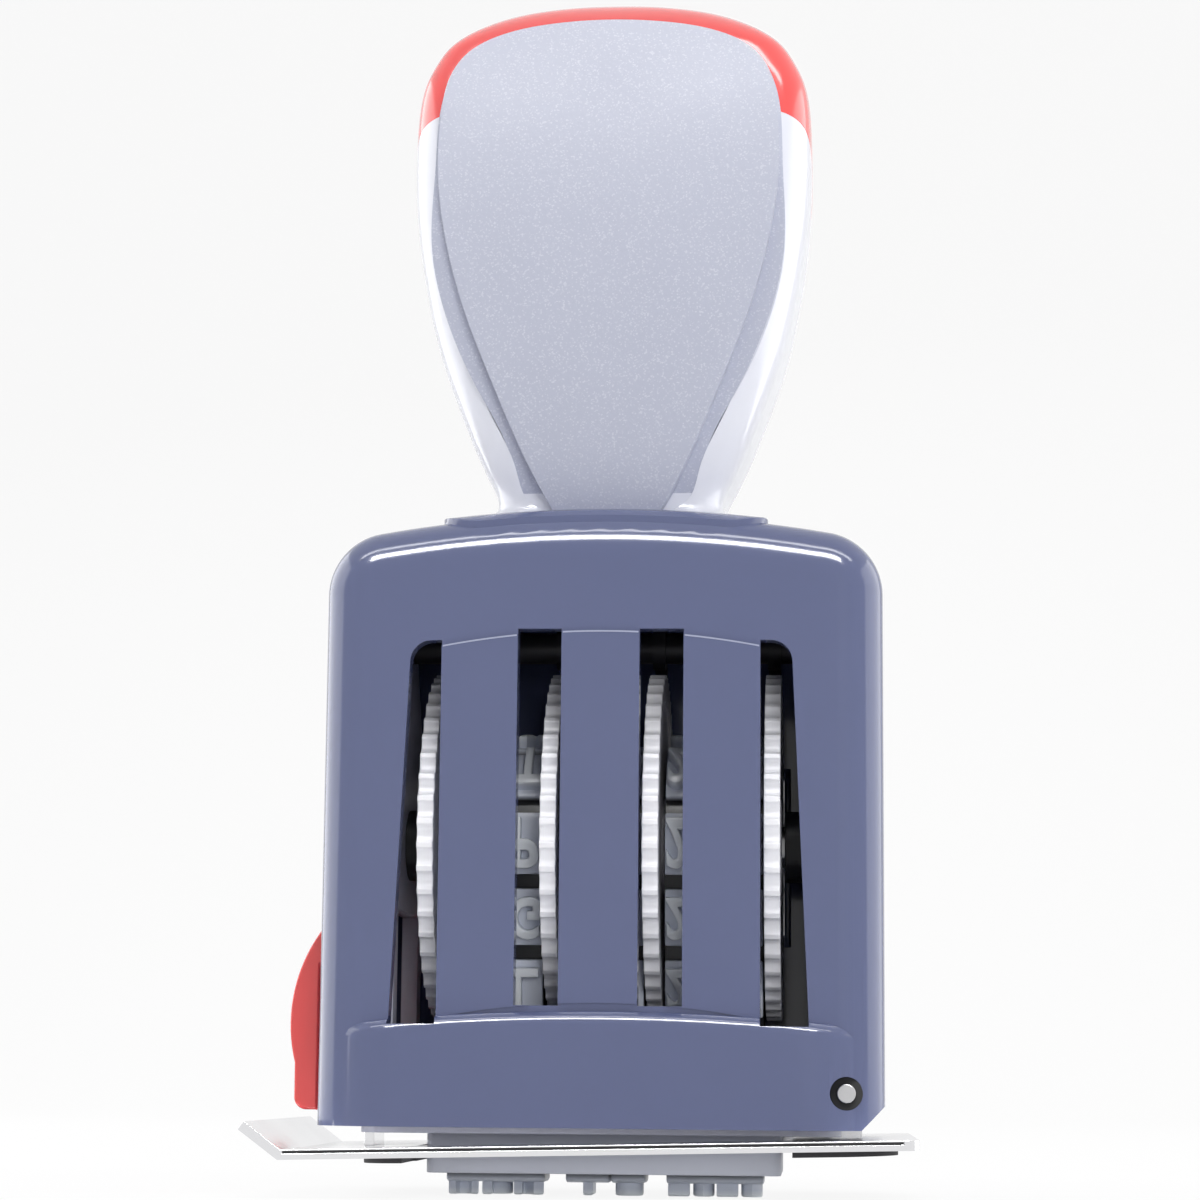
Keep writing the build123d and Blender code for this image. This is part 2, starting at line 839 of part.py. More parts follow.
with BuildPart() as text_plate:
    with BuildSketch(hung_side):
        add(plate_side())
    extrude(amount=plate_half_depth, both=True)
    plate_upright = Axis(hung_top.origin, hung_top.z_dir)
    fillet(text_plate.edges().filter_by(plate_upright).group_by(Axis.X)[-1], radius=plate_corner)
    with BuildSketch(hung_top.offset(-plate_under - overrun)):
        with Locations(((window_left + window_right) / 2, 0)):
            Rectangle(window_right - window_left, 2 * window_half_depth)
    extrude(amount=2 * overrun, mode=Mode.SUBTRACT)
    for side in (-1, 1):
        with BuildSketch(hung_side.offset(-side * ear_y)):
            Circle(ear_radius)
            with Locations((0, -plate_drop)):
                Rectangle(2 * ear_radius, plate_drop, align=(Align.CENTER, Align.MIN))
            Circle(hinge_pin_radius + running, mode=Mode.SUBTRACT)
        extrude(amount=ear_thickness / 2, both=True)
    with BuildSketch(hung_side):
        with Locations((-catch_reach, -plate_drop)):
            Rectangle(plate_thickness, catch_height, align=(Align.MIN, Align.MIN))
        with Locations((-catch_reach, -plate_drop + catch_height)):
            Rectangle(plate_thickness + catch_lip, plate_thickness, align=(Align.MIN, Align.MAX))
    extrude(amount=catch_half_width, both=True)
finish(text_plate, "text_plate")

# Cushion under the plate that takes the text rubber
with BuildPart() as cushion:
    with BuildSketch(hung_top.offset(-plate_under - pad_thickness)):
        with Locations(((pad_right_reach - pad_left_reach) / 2, 0)):
            RectangleRounded(pad_left_reach + pad_right_reach, 2 * pad_half_depth, pad_corner)
        with Locations(((window_left + window_right) / 2, 0)):
            Rectangle(window_right - window_left, 2 * window_half_depth, mode=Mode.SUBTRACT)
    extrude(amount=pad_thickness)
finish(cushion, "die_cushion")

# Release lever with its hooked arm
lever_face_x = -housing_half_width - lever_reach
lever_back_x = lever_face_x + lever_paddle
lip_end_x = hinge_x - catch_reach + plate_thickness + catch_lip
nose_x = lip_end_x + lever_nose_gap
leg_x = nose_x + lever_nose
nose_top = plate_top + catch_height - plate_thickness - catch_reach * sin(hang)
nose_bottom = nose_top - lever_nose_height
lever_top = lever_pivot_height + lever_boss_radius


def paddle_outline():
    with BuildSketch() as paddle:
        with BuildLine():
            Line((lever_pivot_x, lever_top), (-housing_half_width - seat, lever_top))
            ThreePointArc(
                (-housing_half_width - seat, lever_top),
                (lever_face_x + lever_toe / 2, lever_crest),
                (lever_face_x, lever_arm_top),
            )
            Line((lever_face_x, lever_arm_top), (lever_face_x + seat, lever_bottom + lever_toe))
            ThreePointArc(
                (lever_face_x + seat, lever_bottom + lever_toe),
                (lever_face_x + lever_toe * (1 - cos(pi / 4)), lever_bottom + lever_toe * (1 - sin(pi / 4))),
                (lever_face_x + lever_toe, lever_bottom),
            )
            Polyline(
                (lever_face_x + lever_toe, lever_bottom),
                (lever_back_x, lever_bottom),
                (lever_back_x, lever_pivot_height - 2 * lever_boss_radius),
                (lever_pivot_x, lever_pivot_height - lever_boss_radius),
                (lever_pivot_x, lever_top),
            )
        make_face()
        with Locations((lever_pivot_x, lever_pivot_height)):
            Circle(lever_boss_radius)
    return paddle.sketch


def arm_outline():
    with BuildSketch() as arm:
        with Locations((lever_back_x - lever_paddle / 2, lever_arm_top)):
            Rectangle(
                leg_x + lever_arm - lever_back_x + lever_paddle / 2,
                lever_arm,
                align=(Align.MIN, Align.MAX),
            )
        with Locations((leg_x, lever_arm_top)):
            Rectangle(lever_arm, lever_arm_top - nose_bottom, align=(Align.MIN, Align.MAX))
        with Locations((nose_x, nose_bottom)):
            Rectangle(lever_nose + seat, lever_nose_height, align=(Align.MIN, Align.MIN))
    return arm.sketch


spring_radius = lever_pin_radius + spring_room + spring_wire / 2
spring_half_width = (spring_turns * spring_pitch + spring_wire) / 2
with BuildPart() as lever:
    with BuildSketch(Plane.XZ):
        add(paddle_outline())
    extrude(amount=lever_half_width, both=True)
    with BuildSketch(Plane.XZ):
        add(arm_outline())
    extrude(amount=catch_half_width, both=True)
    with BuildSketch(Plane.XZ):
        with Locations((lever_pivot_x, lever_pivot_height)):
            Circle(spring_radius + spring_wire / 2 + loose)
    extrude(amount=spring_half_width + spring_room, both=True, mode=Mode.SUBTRACT)
    with BuildSketch(Plane.XZ):
        with Locations((lever_pivot_x, lever_pivot_height)):
            Circle(lever_pin_radius + running)
    extrude(amount=2 * lever_half_width, both=True, mode=Mode.SUBTRACT)
finish(lever, "release_lever")

with BuildPart() as lever_pin:
    with BuildSketch(Plane.XZ):
        with Locations((lever_pivot_x, lever_pivot_height)):
            Circle(lever_pin_radius)
    extrude(amount=arm_gate_half_depth + 2 * lever_boss_radius - seat, both=True)
finish(lever_pin, "lever_pin")

spring_start = (lever_pivot_x, -spring_turns * spring_pitch / 2, lever_pivot_height)
with BuildPart() as lever_spring:
    with BuildLine() as coil:
        Helix(
            spring_pitch,
            spring_turns * spring_pitch,
            spring_radius,
            center=spring_start,
            direction=(0, 1, 0),
        )
    with BuildSketch(Plane(origin=coil.line @ 0, x_dir=(1, 0, 0), z_dir=coil.line % 0)):
        Rectangle(spring_wire, spring_wire)
    sweep(is_frenet=True)
finish(lever_spring, "lever_spring")


# Handle: a grip cut from its outline and its swelling front and back, closed by a
# cap over the crown and faced by an insert at the front and at the back
handle_foot = saddle_top
insert_pocket_foot = insert_field + insert_pocket


def swell_arc(back, back_foot):
    return (
        (-insert_foot + back_foot, handle_foot),
        (-insert_swell + back, handle_foot + insert_swell_height),
        (-insert_crown + back, handle_foot + handle_height),
    )


def swell_slab(front, rear):
    with BuildPart() as slab:
        with BuildSketch(side_plane(-handle_half_width)):
            with BuildLine():
                ThreePointArc(*front)
                Line(front[2], rear[2])
                ThreePointArc(*rear)
                Line(rear[0], front[0])
            make_face()
        extrude(amount=2 * handle_half_width)
    return slab.part


def grip_outline(inset):
    width = handle_half_width - inset
    height = handle_height - inset
    side = [(width * out, handle_foot + height * up) for up, out in handle_side_shares]
    crown = (0, handle_foot + height)
    mirrored = [(-x, z) for x, z in reversed(side)]
    with BuildSketch() as outline:
        with BuildLine():
            Spline(*side, crown, *mirrored)
            Line(mirrored[-1], side[0])
        make_face()
    return outline.sketch


def grip(inset):
    near = swell_arc(insert_field + inset, insert_field + inset)
    with BuildPart() as body:
        with BuildSketch(Plane.XZ):
            add(grip_outline(inset))
        extrude(amount=insert_swell, both=True)
        add(swell_slab(near, [(-y, z) for y, z in near]), mode=Mode.INTERSECT)
        fillet(body.edges().filter_by(GeomType.BSPLINE), radius=grip_edge - inset)
    return body.part


def insert_face(shares, margin):
    side = [(field_half_width * width, handle_foot + insert_height * height) for height, width in shares]
    crown = (0, handle_foot + insert_height + margin)
    mirrored = [(-x, z) for x, z in reversed(side)]
    with BuildSketch() as face:
        with BuildLine():
            Line(mirrored[-1], side[0])
            Spline(*side, crown, *mirrored)
        make_face()
    return face.sketch


def insert_layer(shares, margin, front, rear):
    with BuildPart() as layer:
        with BuildSketch(Plane.XZ):
            add(insert_face(shares, margin))
        extrude(amount=2 * insert_swell)
        add(swell_slab(front, rear), mode=Mode.INTERSECT)
    return layer.part


flange_back = insert_field + insert_flange
field_front = swell_arc(0, 0)
flange_front = swell_arc(insert_field, insert_pocket_foot)
flange_rear = swell_arc(flange_back, flange_back)
flange_layer = insert_layer(flange_side_shares, flange_margin, flange_front, flange_rear)
field_layer = insert_layer(field_side_shares, 0, field_front, flange_rear)
seat_layer = insert_layer(flange_side_shares, flange_margin, swell_arc(-overrun, -overrun), flange_rear)

with BuildPart() as cap_zone:
    with BuildSketch(side_plane(-2 * handle_half_width)):
        rim = [(insert_swell * out, handle_foot + cap_low + cap_rise * up) for out, up in cap_edge_shares]
        with BuildLine():
            Spline(*[(-y, z) for y, z in reversed(rim[1:])], *rim)
            Polyline(
                (insert_swell, handle_foot + cap_low + cap_rise),
                (2 * insert_swell, handle_foot + cap_low + cap_rise),
                (2 * insert_swell, handle_foot + 2 * handle_height),
                (-2 * insert_swell, handle_foot + 2 * handle_height),
                (-2 * insert_swell, handle_foot + cap_low + cap_rise),
                (-insert_swell, handle_foot + cap_low + cap_rise),
            )
        make_face()
    extrude(amount=4 * handle_half_width)

for name, turn in (("handle_front_insert", 0), ("handle_rear_insert", 180)):
    with BuildPart() as insert:
        with Locations(Location((0, 0, 0), (0, 0, turn))):
            add(flange_layer)
            add(field_layer)
    finish(insert, name)

outer_grip = grip(0)
inner_grip = grip(cap_wall)
rear_seat_layer = seat_layer.rotate(Axis.Z, 180)
with BuildPart() as handle_cap:
    add(outer_grip)
    add(cap_zone.part, mode=Mode.INTERSECT)
    add(inner_grip, mode=Mode.SUBTRACT)
    add(seat_layer, mode=Mode.SUBTRACT)
    add(rear_seat_layer, mode=Mode.SUBTRACT)
finish(handle_cap, "handle_cap")

with BuildPart() as plug:
    add(inner_grip)
    add(cap_zone.part, mode=Mode.INTERSECT)

with BuildPart() as handle_core:
    add(outer_grip)
    with BuildSketch(Plane.XY.offset(handle_foot)):
        RectangleRounded(
            2 * (handle_half_width * handle_side_shares[0][1] + collar_flare),
            2 * (insert_foot - insert_field + collar_flare),
            grip_edge + collar_flare,
        )
    extrude(amount=collar_height, taper=collar_taper)
    add(cap_zone.part, mode=Mode.SUBTRACT)
    add(plug.part)
    add(seat_layer, mode=Mode.SUBTRACT)
    add(rear_seat_layer, mode=Mode.SUBTRACT)
    with Locations((0, 0, handle_foot)):
        Cylinder(handle_screw_radius + seat, 2 * handle_screw_length, mode=Mode.SUBTRACT)
finish(handle_core, "handle_core")

with BuildPart() as handle_screw:
    with Locations((0, 0, cavity_top)):
        Cylinder(
            handle_screw_radius,
            handle_screw_length,
            align=(Align.CENTER, Align.CENTER, Align.MIN),
        )
        Cylinder(
            handle_screw_head_radius,
            handle_screw_head,
            align=(Align.CENTER, Align.CENTER, Align.MAX),
        )
finish(handle_screw, "handle_screw")
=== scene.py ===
# %% [markdown]
# This lesson dresses a hand date stamp. The solids come from the CAD model and
# stay where they are. Each new piece is made in metres in the same frame, rides on
# a body, and stands for a solid where it replaces one.

# %% Load the CAD frame
import json
from math import asin, atan2, cos, hypot, pi, radians, sin

import bmesh
import bpy
from mathutils import Matrix, Vector


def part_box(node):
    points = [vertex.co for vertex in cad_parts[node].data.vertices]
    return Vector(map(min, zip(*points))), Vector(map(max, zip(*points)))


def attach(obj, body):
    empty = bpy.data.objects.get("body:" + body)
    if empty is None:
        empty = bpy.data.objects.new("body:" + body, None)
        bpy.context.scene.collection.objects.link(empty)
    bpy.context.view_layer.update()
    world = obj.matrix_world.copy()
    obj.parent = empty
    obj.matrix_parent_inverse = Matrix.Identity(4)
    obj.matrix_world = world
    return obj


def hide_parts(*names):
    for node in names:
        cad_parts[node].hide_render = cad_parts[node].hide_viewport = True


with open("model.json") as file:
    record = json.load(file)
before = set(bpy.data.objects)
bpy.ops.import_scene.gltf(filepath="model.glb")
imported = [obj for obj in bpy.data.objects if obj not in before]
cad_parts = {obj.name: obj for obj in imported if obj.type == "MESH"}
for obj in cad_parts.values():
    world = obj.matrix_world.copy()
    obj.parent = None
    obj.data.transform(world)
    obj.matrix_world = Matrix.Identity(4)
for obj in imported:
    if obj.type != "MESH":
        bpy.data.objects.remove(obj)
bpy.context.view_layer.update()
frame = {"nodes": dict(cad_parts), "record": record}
scene = bpy.context.scene
mm = 0.001
body_of = {
    node: body
    for body, nodes in frame["record"]["behaviour"]["bodies"].items()
    for node in nodes
}
slot_of = {part["node"]: part["material_slot"] for part in frame["record"]["subparts"]}

# %% [markdown]
# The camera stands low in front of the stamp and a little to the right, and looks
# slightly up, as in the photograph. A long lens keeps the sides of the housing
# nearly parallel. A camera can be aimed at an empty, but here its axes were
# measured as vectors, so a matrix of the three turns it directly.

# %% Camera
camera_data = bpy.data.cameras.new("photo_camera")
camera_data.sensor_width = 36.0
camera_data.lens = 93.24
camera = bpy.data.objects.new("photo_camera", camera_data)
scene.collection.objects.link(camera)
camera_place = Vector((0.0200, -0.3000, 0.01135))
camera_right = Vector((0.99754, 0.06949, 0.00890)).normalized()
camera_forward = Vector((-0.07004, 0.98608, 0.15077)).normalized()
camera_up = camera_right.cross(camera_forward)
camera_axes = Matrix((camera_right, camera_up, -camera_forward)).transposed()
camera.matrix_world = Matrix.Translation(camera_place) @ camera_axes.to_4x4()
scene.camera = camera
print("camera:", round(camera_place.length, 3), "m from the middle of the print face")

# %% [markdown]
# The photograph has a pure white ground. A plain white world would give that, but
# it would also pour white light on the stamp and wash out its colours. So the rays
# are told apart. The world is white where the camera, a reflection or a clear piece
# looks at it, and a low grey level lights the stamp, so that the colours of the
# plastics come out as they are written.

# %% World
ground_white, stamp_light = 1.0, 0.23


def seen_by(tree, *kinds):
    rays = tree.nodes.new("ShaderNodeLightPath")
    seen = rays.outputs[kinds[0]]
    for kind in kinds[1:]:
        either = tree.nodes.new("ShaderNodeMath")
        either.operation = "MAXIMUM"
        tree.links.new(seen, either.inputs[0])
        tree.links.new(rays.outputs[kind], either.inputs[1])
        seen = either.outputs[0]
    return seen


scene.view_settings.view_transform = "Standard"
world = bpy.data.worlds.new("studio")
scene.world = world
world.use_nodes = True
sky = world.node_tree
sky.nodes.clear()
glow = sky.nodes.new("ShaderNodeMapRange")
glow.inputs["To Min"].default_value = stamp_light
glow.inputs["To Max"].default_value = ground_white
background = sky.nodes.new("ShaderNodeBackground")
background.inputs["Color"].default_value = (1, 1, 1, 1)
sky_out = sky.nodes.new("ShaderNodeOutputWorld")
looked_at = seen_by(sky, "Is Camera Ray", "Is Transmission Ray", "Is Glossy Ray")
sky.links.new(looked_at, glow.inputs["Value"])
sky.links.new(glow.outputs[0], background.inputs["Strength"])
sky.links.new(background.outputs[0], sky_out.inputs["Surface"])
print("world: white to the eye, and", stamp_light, "as a light")

# %% [markdown]
# The stamp was lit by broad soft lamps at its sides and above. Area lamps give that
# light, where a point lamp or a sun would throw hard shadows. Three of the lamps
# have a single task each. The fills at the front and back light the plastic but
# don't show as a reflection in it. The gloss strip does the opposite: it lights
# nothing, and is only the thin line of light along the upper edges.

# %% Lamps
stamp_middle = Vector((0, 0, 0.06))


def lamp(name, place, width, height, watts):
    light = bpy.data.lights.new(name, "AREA")
    light.shape = "RECTANGLE"
    light.size = width
    light.size_y = height
    light.energy = watts
    holder = bpy.data.objects.new(name, light)
    turn = (stamp_middle - Vector(place)).to_track_quat("-Z", "Y").to_matrix().to_4x4()
    holder.matrix_world = Matrix.Translation(place) @ turn
    scene.collection.objects.link(holder)
    print(name, "gives", watts, "W")
    return holder


lamp("left_softbox", (-0.42, 0.14, 0.12), 0.55, 0.50, 1.7)
lamp("right_softbox", (0.46, 0.14, 0.12), 0.55, 0.50, 1.5)
lamp("top_strip", (0.0, -0.16, 0.50), 0.80, 0.05, 1.4)
front_fill = lamp("front_fill", (0.22, -0.70, 0.16), 0.3, 0.3, 2.0)
front_fill.visible_glossy = False
gloss_strip = lamp("gloss_strip", (0.0, -0.34, 0.48), 0.56, 0.10, 6.5)
gloss_strip.visible_diffuse = False
back_fill = lamp("back_fill", (-0.10, 0.70, 0.62), 0.4, 0.3, 2.2)
back_fill.visible_glossy = False
back_fill.visible_camera = False

# %% [markdown]
# The floor is one pale sheet that curves up behind the stamp, as paper does in a
# studio. Two planes would show a line where they meet, so an edge is extruded to
# the back, spun through a quarter turn and extruded up. The small helpers here
# serve all the pieces that follow.

# %% Floor and backdrop
floor_half, bend_start, bend_radius, wall_tall = 1.2, 0.5, 0.5, 1.5


def verts_in(geom):
    return [v for v in geom if isinstance(v, bmesh.types.BMVert)]


def edges_in(geom):
    return [e for e in geom if isinstance(e, bmesh.types.BMEdge)]


def carry_on(shape, edges, step):
    grown = bmesh.ops.extrude_edge_only(shape, edges=edges)["geom"]
    bmesh.ops.translate(shape, vec=step, verts=verts_in(grown))
    return edges_in(grown)


def mesh_from(shape, name):
    mesh = bpy.data.meshes.new(name)
    shape.to_mesh(mesh)
    shape.free()
    return mesh


sheet = bmesh.new()
ends = [sheet.verts.new((x, -floor_half, 0)) for x in (-floor_half, floor_half)]
run = carry_on(sheet, [sheet.edges.new(ends)], (0, floor_half + bend_start, 0))
run = [e for e in run if abs(e.verts[0].co.y - e.verts[1].co.y) < 1e-6]
bent = bmesh.ops.spin(
    sheet, geom=run + list(run[0].verts), cent=(0, bend_start, bend_radius), axis=(1, 0, 0),
    angle=radians(90), steps=24,
)
carry_on(sheet, edges_in(bent["geom_last"]), (0, 0, wall_tall))
bmesh.ops.remove_doubles(sheet, verts=sheet.verts, dist=1e-6)
bmesh.ops.recalc_face_normals(sheet, faces=sheet.faces)
floor_mesh = mesh_from(sheet, "floor")
floor_mesh.shade_smooth()
floor = bpy.data.objects.new("floor", floor_mesh)
scene.collection.objects.link(floor)
print("floor:", len(floor_mesh.polygons), "faces")

# %% [markdown]
# The floor's paper is white in the picture but must still take the stamp's shadow.
# Plain white paint would be grey wherever less light falls. So what the camera or a
# reflection sees is mostly a glow, and the rest is matt paper that holds the shadow.

# %% The floor's paper
paper_white, glow_share = 0.9, 0.9
floor_white = bpy.data.materials.new("floor_white")
floor_white.use_nodes = True
floor_tree = floor_white.node_tree
floor_tree.nodes.clear()
paper = floor_tree.nodes.new("ShaderNodeBsdfDiffuse")
paper.inputs["Color"].default_value = (paper_white, paper_white, paper_white, 1)
bright = floor_tree.nodes.new("ShaderNodeEmission")
blend = floor_tree.nodes.new("ShaderNodeMixShader")
keep = floor_tree.nodes.new("ShaderNodeMath")
keep.operation = "MULTIPLY"
keep.inputs[1].default_value = glow_share
floor_out = floor_tree.nodes.new("ShaderNodeOutputMaterial")
looked_at = seen_by(floor_tree, "Is Camera Ray", "Is Glossy Ray")
floor_tree.links.new(looked_at, keep.inputs[0])
floor_tree.links.new(keep.outputs[0], blend.inputs["Fac"])
floor_tree.links.new(paper.outputs[0], blend.inputs[1])
floor_tree.links.new(bright.outputs[0], blend.inputs[2])
floor_tree.links.new(blend.outputs[0], floor_out.inputs["Surface"])
floor_mesh.materials.append(floor_white)
print("paper:", len(floor_tree.nodes), "nodes")

# %% [markdown]
# Moulded plastic is never one flat colour. Each finish here mixes two close
# colours by a soft noise, varies its gloss with the same noise, and carries a fine
# grain as a bump. The nodes could be laid out by hand for each finish, but they
# differ only in their numbers, so one helper makes them all.

# %% A helper for the finishes
cloud_scale, micron = 60, 1e-6
finishes = {}


def finish(name, colour, shade, rough, rough_spread, grain, grain_depth, **sockets):
    material = bpy.data.materials.new(name)
    material.use_nodes = True
    tree = material.node_tree
    shader = tree.nodes["Principled BSDF"]
    place = tree.nodes.new("ShaderNodeTexCoord")
    clouds = tree.nodes.new("ShaderNodeTexNoise")
    clouds.inputs["Scale"].default_value = cloud_scale
    clouds.inputs["Detail"].default_value = 4
    tint = tree.nodes.new("ShaderNodeMix")
    tint.name = "tint"
    tint.data_type = "RGBA"
    tint.inputs["A"].default_value = (*colour, 1)
    tint.inputs["B"].default_value = (*shade, 1)
    gloss = tree.nodes.new("ShaderNodeMapRange")
    gloss.inputs["From Min"].default_value = 0.3
    gloss.inputs["From Max"].default_value = 0.7
    gloss.inputs["To Min"].default_value = rough - rough_spread
    gloss.inputs["To Max"].default_value = rough + rough_spread
    grains = tree.nodes.new("ShaderNodeTexNoise")
    grains.inputs["Scale"].default_value = grain
    grains.inputs["Detail"].default_value = 2
    bump = tree.nodes.new("ShaderNodeBump")
    bump.inputs["Strength"].default_value = 1.0
    bump.inputs["Distance"].default_value = grain_depth
    link = tree.links.new
    link(place.outputs["Object"], clouds.inputs["Vector"])
    link(place.outputs["Object"], grains.inputs["Vector"])
    link(clouds.outputs[0], tint.inputs["Factor"])
    link(clouds.outputs[0], gloss.inputs["Value"])
    link(grains.outputs[0], bump.inputs["Height"])
    link(tint.outputs["Result"], shader.inputs["Base Color"])
    link(gloss.outputs[0], shader.inputs["Roughness"])
    link(bump.outputs["Normal"], shader.inputs["Normal"])
    for socket, value in sockets.items():
        shader.inputs[socket.replace("_", " ")].default_value = value
    finishes[name] = material


# %% [markdown]
# Two finishes need more than that. The inserts of the grip hold fine metal flecks. A noise would
# make soft blots of them, but a Voronoi pattern gives each small cell a value of its own, and
# only the highest few cells turn pale. The rubber of the date bands has painted shade, nearly
# black, in its gaps and a painted highlight on top of its letters, which are palest. A colour by
# place in the room wouldn't follow a belt round, so the rubber reads a height that the mesh
# carries as an attribute.

# %% Flecks, and colour by relief
def add_flecks(tree, strength):
    specks = tree.nodes.new("ShaderNodeTexVoronoi")
    specks.inputs["Scale"].default_value = 7500
    picked = tree.nodes.new("ShaderNodeMapRange")
    picked.inputs["From Min"].default_value = 0.80
    picked.inputs["From Max"].default_value = 0.95
    picked.inputs["To Max"].default_value = strength
    lighter = tree.nodes.new("ShaderNodeMix")
    lighter.data_type = "RGBA"
    lighter.inputs["B"].default_value = (0.95, 0.95, 0.97, 1)
    split = tree.nodes.new("ShaderNodeSeparateColor")
    link = tree.links.new
    link(tree.nodes["Texture Coordinate"].outputs["Object"], specks.inputs["Vector"])
    link(specks.outputs["Color"], split.inputs[0])
    link(split.outputs[0], picked.inputs["Value"])
    link(picked.outputs[0], lighter.inputs["Factor"])
    link(tree.nodes["tint"].outputs["Result"], lighter.inputs["A"])
    link(lighter.outputs["Result"], tree.nodes["Principled BSDF"].inputs["Base Color"])


def colour_by_relief(tree, deep, top):
    relief = tree.nodes.new("ShaderNodeAttribute")
    relief.attribute_name = "relief"
    link = tree.links.new
    below = tree.nodes["tint"].outputs["Result"]
    for start, end, colour, keeps in ((0.25, 0.5, deep, "B"), (0.75, 0.97, top, "A")):
        reach = tree.nodes.new("ShaderNodeMapRange")
        reach.inputs["From Min"].default_value = start
        reach.inputs["From Max"].default_value = end
        step = tree.nodes.new("ShaderNodeMix")
        step.data_type = "RGBA"
        step.inputs["A"].default_value = (*colour, 1)
        step.inputs["B"].default_value = (*colour, 1)
        link(relief.outputs["Fac"], reach.inputs["Value"])
        link(reach.outputs[0], step.inputs["Factor"])
        link(below, step.inputs[keeps])
        below = step.outputs["Result"]
    link(below, tree.nodes["Principled BSDF"].inputs["Base Color"])


# %% [markdown]
# Each finish is now one call. It gives two close colours, the roughness and how far
# it varies, and the scale and depth of the grain. Sockets of the shader that differ
# from a plain plastic, such as the clear coat of the glossy parts, come last.

# %% The plastics
finish(
    "housing_plastic", (0.110, 0.129, 0.246), (0.100, 0.118, 0.230), 0.13, 0.03, 2600, 2 * micron,
    Coat_Weight=0.15, Specular_IOR_Level=0.42,
)
finish(
    "coral_plastic", (0.88, 0.085, 0.080), (0.82, 0.068, 0.064), 0.16, 0.04, 900, 4 * micron,
    Coat_Weight=0.4,
)
finish(
    "handle_plastic", (0.78, 0.79, 0.86), (0.74, 0.755, 0.83), 0.16, 0.04, 900, 3 * micron,
    Coat_Weight=0.3,
)
finish(
    "insert_plastic", (0.51, 0.53, 0.63), (0.46, 0.48, 0.58), 0.42, 0.05, 2400, 12 * micron,
    Specular_IOR_Level=0.15,
)
add_flecks(finishes["insert_plastic"].node_tree, 0.22)
for name, colour, shade, rough, rough_spread, grain, depth in (
    ("guide_plastic", (0.58, 0.60, 0.68), (0.53, 0.55, 0.63), 0.42, 0.05, 2600, 8),
    ("black_plastic", (0.030, 0.030, 0.034), (0.024, 0.024, 0.027), 0.40, 0.06, 2200, 8),
    ("white_plastic", (0.92, 0.92, 0.95), (0.88, 0.88, 0.92), 0.48, 0.06, 1800, 6),
    # The chassis's finish is far paler than its own dark plastic: painted light inside the slots,
    # where little lamp light reaches.
    ("chassis_painted_light", (0.62, 0.63, 0.74), (0.57, 0.58, 0.68), 0.38, 0.06, 2200, 8),
    # Pale finish for the painted highlight on the bars' top edges.
    ("painted_highlight_edge", (0.40, 0.43, 0.56), (0.34, 0.37, 0.50), 0.35, 0.05, 2600, 4),
    # Near-black finish for painted shade: the discs in the pin holes, and the plate's lines that
    # paint the reflection of the shaded underside.
    ("painted_shade_black", (0.006, 0.006, 0.007), (0.004, 0.004, 0.005), 0.6, 0.08, 2200, 4),
):
    finish(name, colour, shade, rough, rough_spread, grain, depth * micron)
print("plastics:", sorted(finishes))

# %% [markdown]
# Steel is a metal all over, so a metallic value of 1 gives it. The springs and the
# bar over the wheels are dark and dulled, and get less. The cushion is the roughest
# finish of all. The bands are smoother from use, and read their relief.

# %% The metals and the rubbers
for name, colour, shade, rough, grain, depth, metal in (
    ("steel", (0.56, 0.56, 0.57), (0.48, 0.48, 0.49), 0.28, 2400, 6, 1.0),
    ("plate_steel", (0.80, 0.80, 0.81), (0.72, 0.72, 0.74), 0.14, 700, 10, 1.0),
    ("dark_steel", (0.05, 0.05, 0.055), (0.04, 0.04, 0.045), 0.45, 2400, 6, 0.6),
):
    finish(name, colour, shade, rough, 0.06, grain, depth * micron, Metallic=metal)
finish(
    "cushion_rubber", (0.030, 0.028, 0.032), (0.02, 0.02, 0.022), 0.7, 0.08, 1800, 20 * micron
)
finish("band_rubber", (0.76, 0.80, 0.90), (0.68, 0.72, 0.81), 0.40, 0.08, 1500, 10 * micron)
# Painted shade, nearly black, in the bands' gaps, and painted light on top of their letters.
painted_gap_shade, painted_top_light = (0.02, 0.021, 0.024), (0.90, 0.94, 0.98)
colour_by_relief(finishes["band_rubber"].node_tree, painted_gap_shade, painted_top_light)
print("finishes in all:", len(finishes))

# %% [markdown]
# A solid from the CAD model arrives as loose triangles with flat shading. It could
# be left so, but a moulded or stamped edge always catches a thin line of light. So
# a copy is merged, its flat faces are joined up, and a small bevel rounds each sharp
# edge. The copy then stands for the solid. Weighted normals keep the flat faces flat
# beside their rounds.

# %% Helpers that put a piece in the scene
crease, weld, still_flat = 35, 2e-6, radians(0.05)
# The chassis wears the pale finish that paints light into the slots.
worn_as = {"chassis": "chassis_painted_light", "tie_bar": "dark_steel", "detent_springs": "dark_steel"}


def in_scene(name, mesh, body, slot, smooth=crease, look=None):
    mesh.shade_smooth()
    mesh.set_sharp_from_angle(angle=radians(smooth))
    piece = bpy.data.objects.new(name, mesh)
    scene.collection.objects.link(piece)
    mesh.materials.clear()
    mesh.materials.append(finishes[look or slot])
    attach(piece, body)
    return piece


def rounded(piece, width, sharper_than):
    edge = piece.modifiers.new("edge", "BEVEL")
    edge.width = width
    edge.segments = 2
    edge.limit_method = "ANGLE"
    edge.angle_limit = radians(sharper_than)
    return edge


def flats_kept(piece):
    flats = piece.modifiers.new("flats", "WEIGHTED_NORMAL")
    flats.keep_sharp = True


